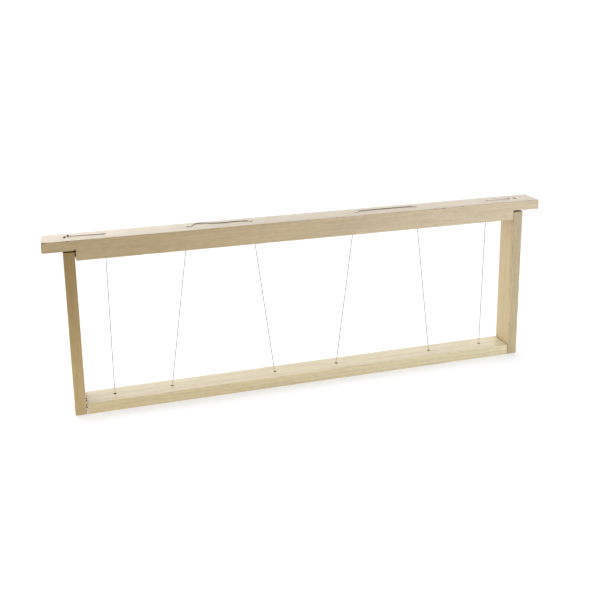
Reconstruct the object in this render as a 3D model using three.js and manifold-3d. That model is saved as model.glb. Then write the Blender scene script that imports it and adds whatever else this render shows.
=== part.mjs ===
// A wired frame for a Langstroth beehive super, in millimetres.
//
// X runs along the top bar, Y from the front to the back, Z up. The origin is under the
// middle of the frame, on the plane that the bottom bar and both side bars stand on.
//
// Four pine bars make the rectangle. The top bar is thick between the side bars and thinner
// in its two lugs, which hang on the hive's rebates. The side bars butt up under the lugs and
// against the thick part's shoulders, and the bottom bar is butted between them. Staples hold
// the corners. One steel wire zigzags through both horizontal bars as six tight strands, and
// each end is hooked round a tack in the top face.

import * as THREE from 'three';
import { mergeVertices } from 'three/addons/utils/BufferGeometryUtils.js';
import Module from 'manifold-3d';

// Bars.
const TOP_BAR_LENGTH = 482; // from lug end to lug end
const LUG_LENGTH = 17.5; // each lug, past the side bar's outer face
const BAR_WIDTH = 26; // front to back, the same on all four bars
const FRAME_HEIGHT = 164; // from the standing plane to the top bar's top face
const TOP_BAR_THICKNESS = 18.8;
const LUG_THICKNESS = 9.7;
const SIDE_BAR_THICKNESS = 10;
const BOTTOM_BAR_THICKNESS = 10.6;
const SHOULDER_ROUND = 1.2; // radius on the thick part's lower ends
const JOINT_GAP = 0.5; // open line left at every butted joint
const SEAT_RELIEF = 0.3; // how much higher the lug's underside is cut over the side bar

// Wire.
const WIRE_DIAMETER = 0.5;
const WIRE_CLEARANCE = 0.3; // between the wire and anything that it lies on or passes
const WIRE_HOLE_DIAMETER = 2.6;
const WIRE_BEND_RADIUS = 1;
const WIRE_SET_IN = 0.1; // lowest side of the wire above the standing plane, in its groove

// Where each strand meets the top face and the standing plane, as a share of the distance
// from the middle of the frame to a side bar's inner face.
const STRAND_TOP_SHARES = [-0.875, -0.527, -0.25, 0.229, 0.523, 0.886];
const STRAND_BOTTOM_SHARES = [-0.876, -0.634, -0.154, 0.13, 0.611, 0.873];

// How the slack wire wanders on the top face: how far along it is from one hole to the next,
// and how far behind the middle line it lies, in millimetres.
const LONG_WANDER = [
  [0.05, -0.4], [0.1, 5.8], [0.18, 7.6], [0.29, 7], [0.38, 4.4],
  [0.55, 2.5], [0.72, 3], [0.86, 2.8], [0.96, 1.1],
];
const SHORT_WANDER = [[0.03, -0.4], [0.08, 2.3], [0.5, 2.6], [0.94, 2]];

// Tacks that hold the wire's ends, placed in from the outer face of each side bar.
const TACK_SHANK_DIAMETER = 1.2;
const TACK_HEAD_DIAMETER = 2.4;
const TACK_HEAD_THICKNESS = 0.5;
const TACK_LENGTH = 9; // below the head
const TACK_POINT = 1.6; // length of the sharpened end
const TACK_CLEARANCE = 0.3;
const LEFT_TACK_INSET = 5.5;
const LEFT_TACK_BACK = 2.9; // behind the middle line
const RIGHT_TACK_INSET = 9.3;
const RIGHT_TACK_BACK = 1.1;
const HOOK_TURN = THREE.MathUtils.degToRad(270); // how far the wire's end goes round a tack

// Staples.
const STAPLE_CROWN = 5.8; // outside width
const STAPLE_WIRE = 1; // thickness, seen along the crown's width
const STAPLE_DEPTH = 1.2; // thickness the other way
const STAPLE_LEG = 25;
const STAPLE_POINT = 1.8; // length of the chisel points
const STAPLE_SUNK = 0.3; // crown below the wood's surface
const STAPLE_CLEARANCE = 0.3;
const STAPLE_LAND = 1.1; // wood left between the legs of crossing staples
const TOP_STAPLE_INSET = 2.5; // from the side bar's outer face
const BOTTOM_STAPLES_PER_SIDE = 2;

// Detail of the faceted shapes.
const HOLE_SIDES = 20;
const TACK_SIDES = 20;
const WIRE_SIDES = 8;
const BEND_STEPS = 4;
const HOOK_STEPS = 10;
const ROUND_STEPS = 5;
const THROUGH = 5; // how far a cutter runs past the surface that it cuts
const MERGE_DISTANCE = 1e-4;

// Places that follow from the sizes above.
const SIDE_OUTER = TOP_BAR_LENGTH / 2 - LUG_LENGTH;
const SIDE_INNER = SIDE_OUTER - SIDE_BAR_THICKNESS;
const SHOULDER = SIDE_INNER - JOINT_GAP; // half the length of what fits between the side bars
const TOP_BAR_UNDERSIDE = FRAME_HEIGHT - TOP_BAR_THICKNESS;
const LUG_UNDERSIDE = FRAME_HEIGHT - LUG_THICKNESS;
const SIDE_BAR_HEIGHT = LUG_UNDERSIDE - JOINT_GAP;
const WIRE_RADIUS = WIRE_DIAMETER / 2;
const WIRE_ON_TOP = FRAME_HEIGHT + WIRE_CLEARANCE + WIRE_RADIUS;
const WIRE_BELOW = WIRE_SET_IN + WIRE_RADIUS;
const GROOVE_DEPTH = WIRE_SET_IN + WIRE_DIAMETER + WIRE_CLEARANCE;
const GROOVE_WIDTH = WIRE_DIAMETER + 2 * WIRE_CLEARANCE;
const TACK_HEAD_SEAT = WIRE_ON_TOP + WIRE_RADIUS + WIRE_CLEARANCE;
const HOOK_RADIUS = TACK_SHANK_DIAMETER / 2 + WIRE_CLEARANCE + WIRE_RADIUS;

const wasm = await Module();
wasm.setup();

// A closed three.js mesh as a manifold solid, moved by a matrix.
function toSolid(geometry, matrix) {
  const moved = geometry.clone().applyMatrix4(matrix);
  moved.deleteAttribute('normal');
  moved.deleteAttribute('uv');
  const merged = mergeVertices(moved, MERGE_DISTANCE);
  return new wasm.Manifold(new wasm.Mesh({
    numProp: 3,
    vertProperties: merged.attributes.position.array,
    triVerts: new Uint32Array(merged.index.array),
  }));
}

function toGeometry(solid) {
  const mesh = solid.getMesh();
  const geometry = new THREE.BufferGeometry();
  geometry.setAttribute('position', new THREE.BufferAttribute(mesh.vertProperties, 3));
  geometry.setIndex(new THREE.BufferAttribute(mesh.triVerts, 1));
  geometry.computeVertexNormals();
  return geometry;
}

// Cuts the cutters out of a piece. Both are placed objects, so a cutter that crosses a joint
// leaves its two halves in line.
function carve(piece, cutters) {
  piece.updateMatrixWorld(true);
  const toPiece = piece.matrixWorld.clone().invert();
  let solid = toSolid(piece.geometry, new THREE.Matrix4());
  for (const cutter of cutters) {
    cutter.updateMatrixWorld(true);
    const placed = toPiece.clone().multiply(cutter.matrixWorld);
    solid = solid.subtract(toSolid(cutter.geometry, placed));
  }
  piece.geometry = toGeometry(solid);
}

function material(color, roughness, metalness) {
  return new THREE.MeshStandardMaterial({ color, roughness, metalness });
}

const wood = (color) => material(color, 0.75, 0);
const steel = () => material(0xb4b6ba, 0.35, 0.9);
const galvanised = () => material(0x8f9196, 0.5, 0.8);

function named(name, geometry, finish) {
  const mesh = new THREE.Mesh(geometry, finish);
  mesh.name = name;
  return mesh;
}

// ---- Bars ----

// The top bar's side view, drawn with its thick part's underside on y = 0.
function topBarOutline() {
  const half = TOP_BAR_LENGTH / 2;
  const lug = TOP_BAR_THICKNESS - LUG_THICKNESS;
  const seat = lug + SEAT_RELIEF;
  const seatEnd = SIDE_OUTER + JOINT_GAP;
  const centre = SHOULDER - SHOULDER_ROUND;
  const outline = new THREE.Shape();
  outline.moveTo(-centre, 0);
  outline.lineTo(centre, 0);
  outline.absarc(centre, SHOULDER_ROUND, SHOULDER_ROUND, -Math.PI / 2, 0, false);
  outline.lineTo(SHOULDER, seat);
  outline.lineTo(seatEnd, seat);
  outline.lineTo(seatEnd, lug);
  outline.lineTo(half, lug);
  outline.lineTo(half, TOP_BAR_THICKNESS);
  outline.lineTo(-half, TOP_BAR_THICKNESS);
  outline.lineTo(-half, lug);
  outline.lineTo(-seatEnd, lug);
  outline.lineTo(-seatEnd, seat);
  outline.lineTo(-SHOULDER, seat);
  outline.absarc(-centre, SHOULDER_ROUND, SHOULDER_ROUND, Math.PI, 1.5 * Math.PI, false);
  return outline;
}

function makeTopBar() {
  const settings = { depth: BAR_WIDTH, bevelEnabled: false, curveSegments: ROUND_STEPS };
  const bar = named('top_bar', new THREE.ExtrudeGeometry(topBarOutline(), settings), wood(0xe6dcc6));
  bar.rotation.x = Math.PI / 2;
  bar.position.set(0, BAR_WIDTH / 2, TOP_BAR_UNDERSIDE);
  return bar;
}

function makeSideBar(name, side) {
  const geometry = new THREE.BoxGeometry(SIDE_BAR_THICKNESS, BAR_WIDTH, SIDE_BAR_HEIGHT);
  const bar = named(name, geometry, wood(0xcfba8c));
  bar.position.set(side * (SIDE_INNER + SIDE_OUTER) / 2, 0, SIDE_BAR_HEIGHT / 2);
  return bar;
}

function makeBottomBar() {
  const geometry = new THREE.BoxGeometry(2 * SHOULDER, BAR_WIDTH, BOTTOM_BAR_THICKNESS);
  const bar = named('bottom_bar', geometry, wood(0xdccfaa));
  bar.position.z = BOTTOM_BAR_THICKNESS / 2;
  return bar;
}

// ---- Staples ----

// A staple whose crown lies along X at the origin, with its legs going down to their points.
// A cutter for it is the same shape grown by a clearance, with blunt legs and with its crown
// raised so that it opens out of the surface.
function stapleGeometry({ clearance, raised, point }) {
  const outer = STAPLE_CROWN / 2 + clearance;
  const inner = STAPLE_CROWN / 2 - STAPLE_WIRE - clearance;
  const crownUnderside = -STAPLE_WIRE - clearance;
  const tip = -STAPLE_LEG - clearance;
  const outline = new THREE.Shape();
  outline.moveTo(-outer, raised);
  outline.lineTo(-outer, tip + point);
  outline.lineTo(-inner, tip);
  outline.lineTo(-inner, crownUnderside);
  outline.lineTo(inner, crownUnderside);
  outline.lineTo(inner, tip);
  outline.lineTo(outer, tip + point);
  outline.lineTo(outer, raised);
  const depth = STAPLE_DEPTH + 2 * clearance;
  const geometry = new THREE.ExtrudeGeometry(outline, { depth, bevelEnabled: false });
  geometry.translate(0, 0, -depth / 2);
  geometry.rotateX(Math.PI / 2);
  return geometry;
}

// A staple with its crown along Y. `inward` is the direction in which its legs are driven.
function makeStaple(name, place, inward) {
  const shape = stapleGeometry({ clearance: 0, raised: 0, point: STAPLE_POINT });
  const staple = named(name, shape, galvanised());
  const across = new THREE.Vector3(0, 1, 0);
  const up = inward.clone().negate();
  const basis = new THREE.Matrix4().makeBasis(across, up.clone().cross(across), up);
  staple.quaternion.setFromRotationMatrix(basis);
  staple.position.copy(place).addScaledVector(inward, STAPLE_SUNK);
  return staple;
}

function stapleCutter(staple) {
  const raised = STAPLE_SUNK + THROUGH;
  const cutter = new THREE.Mesh(
    stapleGeometry({ clearance: STAPLE_CLEARANCE, raised, point: 0 }),
  );
  cutter.position.copy(staple.position);
  cutter.quaternion.copy(staple.quaternion);
  return cutter;
}

// The staples of one corner pair: down through the lug, in through the side bar into the
// thick part's end, and in through the side bar into the bottom bar's end.
function makeSideStaples(label, side) {
  const down = new THREE.Vector3(0, 0, -1);
  const inward = new THREE.Vector3(-side, 0, 0);
  const staples = [];
  const lugPlace = new THREE.Vector3(side * (SIDE_OUTER - TOP_STAPLE_INSET), 0, FRAME_HEIGHT);
  staples.push(makeStaple(`lug_staple_${label}`, lugPlace, down));

  // The lug staple's legs stand in the way at the middle, so this one sits behind them.
  const behind = STAPLE_CROWN + STAPLE_LAND;
  const endMiddle = (TOP_BAR_UNDERSIDE + LUG_UNDERSIDE) / 2;
  const shoulderPlace = new THREE.Vector3(side * SIDE_OUTER, behind, endMiddle);
  staples.push(makeStaple(`shoulder_staple_${label}`, shoulderPlace, inward));

  for (let index = 0; index < BOTTOM_STAPLES_PER_SIDE; index += 1) {
    const y = BAR_WIDTH * ((index + 0.5) / BOTTOM_STAPLES_PER_SIDE - 0.5);
    const place = new THREE.Vector3(side * SIDE_OUTER, y, BOTTOM_BAR_THICKNESS / 2);
    staples.push(makeStaple(`bottom_staple_${label}_${index + 1}`, place, inward));
  }
  return staples;
}

// ---- Tacks ----

function makeTack(name, x, y) {
  const shank = TACK_SHANK_DIAMETER / 2;
  const head = TACK_HEAD_DIAMETER / 2;
  const profile = [
    [0, -TACK_LENGTH],
    [shank, -TACK_LENGTH + TACK_POINT],
    [shank, 0],
    [head, 0],
    [head, TACK_HEAD_THICKNESS * 0.5],
    [head * 0.6, TACK_HEAD_THICKNESS * 0.9],
    [0, TACK_HEAD_THICKNESS],
  ].map(([radius, height]) => new THREE.Vector2(radius, height));
  const tack = named(name, new THREE.LatheGeometry(profile, TACK_SIDES), galvanised());
  tack.rotation.x = Math.PI / 2;
  tack.position.set(x, y, TACK_HEAD_SEAT);
  return tack;
}

function tackCutter(tack) {
  const radius = TACK_SHANK_DIAMETER / 2 + TACK_CLEARANCE;
  const bottom = TACK_HEAD_SEAT - TACK_LENGTH - TACK_CLEARANCE;
  const length = FRAME_HEIGHT + THROUGH - bottom;
  const cutter = new THREE.Mesh(new THREE.CylinderGeometry(radius, radius, length, HOLE_SIDES));
  cutter.rotation.x = Math.PI / 2;
  cutter.position.set(tack.position.x, tack.position.y, bottom + length / 2);
  return cutter;
}

// ---- Wire ----

// One strand's two ends: where its axis meets the wire's level on top and in the groove.
function strandEnds(index) {
  const top = new THREE.Vector3(STRAND_TOP_SHARES[index] * SIDE_INNER, 0, FRAME_HEIGHT);
  const bottom = new THREE.Vector3(STRAND_BOTTOM_SHARES[index] * SIDE_INNER, 0, 0);
  const level = (height) => bottom.clone().lerp(top, height / FRAME_HEIGHT);
  return { top: level(WIRE_ON_TOP), bottom: level(WIRE_BELOW) };
}

// A hook round a tack, listed from the wire's free end to where it leaves for the strands.
// `side` is -1 on the left, where the wire leaves towards +X, and 1 on the right.
function hookPoints(tack, side) {
  const points = [];
  for (let step = 0; step <= HOOK_STEPS; step += 1) {
    const angle = -Math.PI / 2 + side * HOOK_TURN * (1 - step / HOOK_STEPS);
    const x = tack.position.x + HOOK_RADIUS * Math.cos(angle);
    const y = tack.position.y + HOOK_RADIUS * Math.sin(angle);
    points.push(new THREE.Vector3(x, y, WIRE_ON_TOP));
  }
  return points;
}

function wanderPoints(from, to, wander) {
  return wander.map(([share, back]) => {
    const point = from.clone().lerp(to, share);
    point.y += back;
    return point;
  });
}

// Replaces a polyline's corner by an arc where it turns sharply.
function roundCorner(before, corner, after) {
  const arriving = corner.clone().sub(before).normalize();
  const leaving = after.clone().sub(corner).normalize();
  const turn = arriving.angleTo(leaving);
  if (turn < Math.PI / 4) return [corner];
  const shorter = Math.min(before.distanceTo(corner), after.distanceTo(corner));
  const reach = Math.min(WIRE_BEND_RADIUS * Math.tan(turn / 2), shorter / 2);
  const start = corner.clone().addScaledVector(arriving, -reach);
  const end = corner.clone().addScaledVector(leaving, reach);
  const arc = new THREE.QuadraticBezierCurve3(start, corner, end);
  return arc.getPoints(BEND_STEPS);
}

// A curve through a list of points that is sampled at exactly those points, so that straight
// stretches cost one step and bends keep all of theirs.
class ListedRoute extends THREE.Curve {
  constructor(points) {
    super();
    this.points = points;
  }

  get steps() {
    return this.points.length - 1;
  }

  getUtoTmapping(u) {
    return u;
  }

  getPoint(t, target = new THREE.Vector3()) {
    const place = t * this.steps;
    const index = Math.min(Math.floor(place + 1e-9), this.steps - 1);
    return target.lerpVectors(this.points[index], this.points[index + 1], place - index);
  }

  getTangent(t, target = new THREE.Vector3()) {
    const index = Math.round(t * this.steps);
    const here = this.points[index];
    const before = this.points[Math.max(index - 1, 0)];
    const after = this.points[Math.min(index + 1, this.steps)];
    const arriving = here.clone().sub(before).normalize();
    const leaving = after.clone().sub(here).normalize();
    return target.copy(arriving).add(leaving).normalize();
  }
}

function wireCorners(leftTack, rightTack) {
  const strands = STRAND_TOP_SHARES.map((share, index) => strandEnds(index));
  const corners = hookPoints(leftTack, -1);
  strands.forEach(({ top, bottom }, index) => {
    const goingDown = index % 2 === 0;
    if (goingDown) {
      corners.push(top, bottom);
      return;
    }
    corners.push(bottom, top);
    if (index === strands.length - 1) return;
    const wander = index === 1 ? LONG_WANDER : SHORT_WANDER;
    corners.push(...wanderPoints(top, strands[index + 1].top, wander));
  });
  corners.push(...hookPoints(rightTack, 1).reverse());
  return corners;
}

function makeWire(leftTack, rightTack) {
  const corners = wireCorners(leftTack, rightTack);
  const points = corners.flatMap((corner, index) => {
    const isEnd = index === 0 || index === corners.length - 1;
    return isEnd ? [corner] : roundCorner(corners[index - 1], corner, corners[index + 1]);
  });
  const section = new THREE.Shape();
  for (let side = 0; side < WIRE_SIDES; side += 1) {
    const angle = (2 * Math.PI * side) / WIRE_SIDES;
    const x = WIRE_RADIUS * Math.cos(angle);
    const y = WIRE_RADIUS * Math.sin(angle);
    if (side === 0) section.moveTo(x, y);
    else section.lineTo(x, y);
  }
  const route = new ListedRoute(points);
  const settings = { steps: route.steps, extrudePath: route, bevelEnabled: false };
  return named('frame_wire', new THREE.ExtrudeGeometry(section, settings), steel());
}

// One drill that goes right through both bars along a strand.
function strandDrill(index) {
  const { top, bottom } = strandEnds(index);
  const length = top.distanceTo(bottom) + 2 * THROUGH;
  const radius = WIRE_HOLE_DIAMETER / 2;
  const drill = new THREE.Mesh(new THREE.CylinderGeometry(radius, radius, length, HOLE_SIDES));
  const axis = top.clone().sub(bottom).normalize();
  drill.quaternion.setFromUnitVectors(new THREE.Vector3(0, 1, 0), axis);
  drill.position.copy(top).add(bottom).multiplyScalar(0.5);
  return drill;
}

// The groove that the wire has pulled into the bottom bar's underside, between two strands.
function grooveCutter(index) {
  const from = strandEnds(index).bottom;
  const to = strandEnds(index + 1).bottom;
  const geometry = new THREE.BoxGeometry(to.x - from.x, GROOVE_WIDTH, 2 * GROOVE_DEPTH);
  const cutter = new THREE.Mesh(geometry);
  cutter.position.set((from.x + to.x) / 2, 0, 0);
  return cutter;
}

// ---- Assembly ----

const topBar = makeTopBar();
const bottomBar = makeBottomBar();
const sides = [
  { label: 'left', side: -1 },
  { label: 'right', side: 1 },
].map(({ label, side }) => ({
  bar: makeSideBar(`side_bar_${label}`, side),
  staples: makeSideStaples(label, side),
}));
const staples = sides.flatMap((entry) => entry.staples);

const leftTack = makeTack('wire_tack_left', -SIDE_OUTER + LEFT_TACK_INSET, LEFT_TACK_BACK);
const rightTack = makeTack('wire_tack_right', SIDE_OUTER - RIGHT_TACK_INSET, RIGHT_TACK_BACK);
const tacks = [leftTack, rightTack];

const drills = STRAND_TOP_SHARES.map((share, index) => strandDrill(index));
const grooves = [0, 2, 4].map(grooveCutter);
const slots = staples.map(stapleCutter);

carve(topBar, [...drills, ...slots, ...tacks.map(tackCutter)]);
carve(bottomBar, [...drills, ...grooves, ...slots]);
for (const { bar } of sides) carve(bar, slots);

const woodwork = new THREE.Group();
woodwork.add(topBar, bottomBar, ...sides.map(({ bar }) => bar));

const fastenings = new THREE.Group();
fastenings.add(...staples);

const wiring = new THREE.Group();
wiring.add(makeWire(leftTack, rightTack), ...tacks);

const group = new THREE.Group();
group.add(woodwork, fastenings, wiring);

export default group;
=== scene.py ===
"""A wired beehive frame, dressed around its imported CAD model.

Blender works in metres, in the CAD frame: X along the top bar, Y from the front face to the
back face, Z up. Sizes here are written in millimetres and multiplied by MM.
"""
import math
import random

import bmesh
import bpy
from mathutils import Matrix, Vector, noise


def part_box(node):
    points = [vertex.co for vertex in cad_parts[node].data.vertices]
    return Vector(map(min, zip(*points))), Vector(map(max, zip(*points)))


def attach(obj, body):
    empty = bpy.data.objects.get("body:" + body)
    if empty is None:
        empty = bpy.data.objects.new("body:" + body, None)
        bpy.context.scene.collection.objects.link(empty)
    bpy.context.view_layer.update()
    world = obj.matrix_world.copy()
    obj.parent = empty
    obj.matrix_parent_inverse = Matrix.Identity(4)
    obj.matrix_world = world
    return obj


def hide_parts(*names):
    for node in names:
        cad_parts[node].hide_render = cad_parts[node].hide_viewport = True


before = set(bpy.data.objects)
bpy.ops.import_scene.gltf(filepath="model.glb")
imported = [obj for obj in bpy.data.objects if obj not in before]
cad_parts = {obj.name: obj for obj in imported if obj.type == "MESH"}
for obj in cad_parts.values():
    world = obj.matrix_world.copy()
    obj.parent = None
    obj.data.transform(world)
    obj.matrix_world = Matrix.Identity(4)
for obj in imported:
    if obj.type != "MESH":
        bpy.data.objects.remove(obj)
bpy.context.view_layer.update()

MM = 0.001

# Sizes that the frame's boxes don't give, as in the CAD model, in millimetres.
LUG_THICKNESS = 9.7
SHOULDER_ROUND = 1.5
SEAT_RELIEF = 0.3
JOINT_GAP = 0.5
WIRE_DIAMETER = 0.5
WIRE_HOLE_DIAMETER = 2.6
GROOVE_DEPTH = 0.9
TACK_SHANK_DIAMETER = 1.2
TACK_HEAD_DIAMETER = 2.4
STAPLE_WIRE = 1.0
STAPLE_DEPTH = 1.2
STAPLE_POINT = 1.8
STAPLE_SINK = 0.5

# Where each strand meets the top face and the standing plane, as a share of the distance from
# the middle of the frame to a side bar's inner face.
STRAND_TOP_SHARES = [-0.875, -0.527, -0.25, 0.229, 0.523, 0.886]
STRAND_BOTTOM_SHARES = [-0.876, -0.634, -0.154, 0.13, 0.611, 0.873]

# How the slack wire wanders on the top face: how far along it is from one hole to the next,
# and how far behind the middle line it lies, in millimetres.
LONG_WANDER = [
    (0.05, -0.4), (0.1, 5.8), (0.18, 7.6), (0.29, 7), (0.38, 4.4),
    (0.55, 2.5), (0.72, 3), (0.86, 2.8), (0.96, 1.1),
]
SHORT_WANDER = [(0.03, -0.4), (0.08, 2.3), (0.5, 2.6), (0.94, 2)]

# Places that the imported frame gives, in metres.
top_low, top_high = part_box("top_bar")
bottom_low, bottom_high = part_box("bottom_bar")
left_low, left_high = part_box("side_bar_left")
FRAME_HEIGHT = top_high.z
SIDE_OUTER = -left_low.x
SIDE_INNER = -left_high.x
SHOULDER = bottom_high.x
LUG_UNDERSIDE = FRAME_HEIGHT - LUG_THICKNESS * MM


# ---- Camera, light and floor ----

CAMERA_PLACE = Vector((-228.752, -761.087, 372.781)) * MM
CAMERA_YAW = 16.967
CAMERA_PITCH = 13.648
CAMERA_ROLL = 0.54
CAMERA_LENS = 52.18
CAMERA_SENSOR = 36
CAMERA_SHIFT = (-1 / 60, -1 / 6)
CAMERA_CLIP = (0.01, 100)

WHITE = (1, 1, 1)

# How bright the studio is in front of the frame and behind it, and the two values of a
# direction's Y between which the one turns into the other.
WORLD_FRONT = 0.3
WORLD_BEHIND = 2.75
WORLD_TURN = (0.2, 0.95)

TOP_LIGHT_DIRECTION = (-0.25, 0.15, 1)
TOP_LIGHT_STRENGTH = 0.25
TOP_LIGHT_COLOUR = (0.94, 0.97, 1)
TOP_LIGHT_SPREAD = 70

# Each soft box's name, place, target, size, power and colour.
SOFT_BOXES = [
    ("left_box", (-1.3, 0, 0.45), (0, 0, 0.1), (0.8, 0.8), 7, WHITE),
    ("right_box", (0.38, -0.45, 0.1), (0.12, 0, 0.1), (0.3, 0.3), 1.6, (0.75, 0.85, 1)),
    ("back_box", (-0.35, 1.3, 0.5), (-0.2, 0, 0.15), (0.9, 0.5), 2.8, WHITE),
    ("low_box", (-0.09, -0.22, 0.02), (-0.07, 0, 0.02), (0.6, 0.04), 0.16, WHITE),
]

# Half the floor's width in metres, its two tones, and how much it glows like a lit table.
FLOOR_HALF = 40
FLOOR_TONES = ((0.64, 0.64, 0.64), (0.67, 0.67, 0.67))
FLOOR_GLOW = 0.46


def camera_axes():
    """The camera's right, up and backward directions."""
    yaw, pitch, roll = (math.radians(a) for a in (CAMERA_YAW, CAMERA_PITCH, CAMERA_ROLL))
    level = math.cos(pitch)
    forward = Vector((math.sin(yaw) * level, math.cos(yaw) * level, -math.sin(pitch)))
    right = Vector((math.cos(yaw), -math.sin(yaw), 0))
    down = forward.cross(right)
    rolled_right = right * math.cos(roll) + down * math.sin(roll)
    rolled_down = down * math.cos(roll) - right * math.sin(roll)
    return rolled_right, -rolled_down, -forward


def make_camera():
    data = bpy.data.cameras.new("camera")
    data.lens = CAMERA_LENS
    data.sensor_width = CAMERA_SENSOR
    data.shift_x, data.shift_y = CAMERA_SHIFT
    data.clip_start, data.clip_end = CAMERA_CLIP
    camera = bpy.data.objects.new("camera", data)
    bpy.context.scene.collection.objects.link(camera)
    turn = Matrix(camera_axes()).transposed()
    camera.matrix_world = Matrix.Translation(CAMERA_PLACE) @ turn.to_4x4()
    bpy.context.scene.camera = camera


def make_soft_box(name, place, target, size, power, colour):
    data = bpy.data.lights.new(name, "AREA")
    data.shape = "RECTANGLE"
    data.size, data.size_y = size
    data.energy = power
    data.color = colour
    light = bpy.data.objects.new(name, data)
    bpy.context.scene.collection.objects.link(light)
    light.location = place
    light.visible_camera = False
    direction = Vector(target) - Vector(place)
    light.rotation_euler = direction.to_track_quat("-Z", "Y").to_euler()


def make_top_light():
    """A broad light from far above, which lights the whole floor evenly."""
    data = bpy.data.lights.new("top_light", "SUN")
    data.energy = TOP_LIGHT_STRENGTH
    data.color = TOP_LIGHT_COLOUR
    data.angle = math.radians(TOP_LIGHT_SPREAD)
    light = bpy.data.objects.new("top_light", data)
    bpy.context.scene.collection.objects.link(light)
    light.rotation_euler = Vector(TOP_LIGHT_DIRECTION).to_track_quat("Z", "Y").to_euler()


def make_world():
    """A pale studio, dimmer in front of the frame than behind it."""
    world = bpy.data.worlds.new("studio")
    bpy.context.scene.world = world
    world.use_nodes = True
    nodes, links = world.node_tree.nodes, world.node_tree.links
    direction = nodes.new("ShaderNodeTexCoord")
    parts = nodes.new("ShaderNodeSeparateXYZ")
    depth = nodes.new("ShaderNodeMapRange")
    depth.interpolation_type = "SMOOTHSTEP"
    depth.inputs["From Min"].default_value, depth.inputs["From Max"].default_value = WORLD_TURN
    depth.inputs["To Min"].default_value = WORLD_FRONT
    depth.inputs["To Max"].default_value = WORLD_BEHIND
    links.new(direction.outputs["Generated"], parts.inputs["Vector"])
    links.new(parts.outputs["Y"], depth.inputs["Value"])
    links.new(depth.outputs["Result"], nodes["Background"].inputs["Strength"])
    nodes["Background"].inputs["Color"].default_value = (*WHITE, 1)


def make_lights():
    make_world()
    make_top_light()
    for box in SOFT_BOXES:
        make_soft_box(*box)
    bpy.context.scene.view_settings.view_transform = "Standard"


def make_floor():
    half = FLOOR_HALF
    mesh = bpy.data.meshes.new("floor")
    corners = [(-half, -half, 0), (half, -half, 0), (half, half, 0), (-half, half, 0)]
    mesh.from_pydata(corners, [], [(0, 1, 2, 3)])
    floor = bpy.data.objects.new("floor", mesh)
    bpy.context.scene.collection.objects.link(floor)
    mesh.materials.append(floor_material())


# ---- Materials ----

class Shader:
    """A node material and short ways to add nodes to it."""

    def __init__(self, name):
        self.material = bpy.data.materials.new(name)
        self.material.use_nodes = True
        self.tree = self.material.node_tree
        self.surface = self.tree.nodes["Principled BSDF"]

    def add(self, kind, inputs, **settings):
        node = self.tree.nodes.new("ShaderNode" + kind)
        for key, value in settings.items():
            setattr(node, key, value)
        self.feed(node, inputs)
        return node

    def feed(self, node, inputs):
        for key, value in inputs.items():
            if isinstance(value, bpy.types.NodeSocket):
                self.tree.links.new(value, node.inputs[key])
            else:
                node.inputs[key].default_value = value

    def place(self):
        """The point's own place in the piece, in metres."""
        return self.add("TexCoord", {}).outputs["Object"]

    def part(self, vector, axis):
        return self.add("SeparateXYZ", {"Vector": vector}).outputs[axis]

    def math(self, operation, first, second=0.0, third=0.0):
        node = self.add("Math", {0: first, 1: second, 2: third}, operation=operation)
        return node.outputs[0]

    def vector(self, operation, first, second=(0, 0, 0)):
        node = self.add("VectorMath", {0: first, 1: second}, operation=operation)
        return node.outputs["Vector"]

    def scaled(self, first, amount):
        node = self.add("VectorMath", {0: first, "Scale": amount}, operation="SCALE")
        return node.outputs["Vector"]

    def spread(self, value, low, high, to_low=0.0, to_high=1.0):
        """The value mapped from one range to another and held inside it."""
        node = self.add("MapRange", {
            "Value": value, "From Min": low, "From Max": high,
            "To Min": to_low, "To Max": to_high,
        })
        return node.outputs["Result"]

    def blend(self, share, first, second):
        """Two colours mixed. The colour sockets share their names with others, so they go by
        number."""
        node = self.add("Mix", {}, data_type="RGBA")
        self.feed(node, {0: share, 6: first, 7: second})
        return node.outputs[2]

    def stretched(self, coordinates, scale, place=(0, 0, 0)):
        node = self.add("Mapping", {"Vector": coordinates, "Scale": scale, "Location": place})
        return node.outputs["Vector"]

    def noise(self, coordinates, scale, detail=2.0, roughness=0.5, output="Fac"):
        node = self.add("TexNoise", {
            "Vector": coordinates, "Scale": scale, "Detail": detail, "Roughness": roughness,
        })
        return node.outputs[output]

    def grain(self, coordinates, stretch, detail, roughness=0.5, place=(0, 0, 0)):
        """Noise with its own scale along each axis."""
        return self.noise(self.stretched(coordinates, stretch, place), 1.0, detail, roughness)

    def varied(self, tone, texture, amount):
        """The tone plus `amount` times how far a texture is from its middle."""
        return self.math("MULTIPLY_ADD", self.math("SUBTRACT", texture, 0.5), amount, tone)


def colour(red, green, blue):
    return (red, green, blue, 1.0)


def floor_material():
    shader = Shader("floor_paper")
    fleck = shader.noise(shader.place(), 3.0)
    tone = shader.blend(fleck, colour(*FLOOR_TONES[0]), colour(*FLOOR_TONES[1]))
    shader.feed(shader.surface, {
        "Base Color": tone, "Roughness": 0.9, "Emission Color": (*WHITE, 1),
        "Emission Strength": FLOOR_GLOW,
    })
    return shader.material


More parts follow.
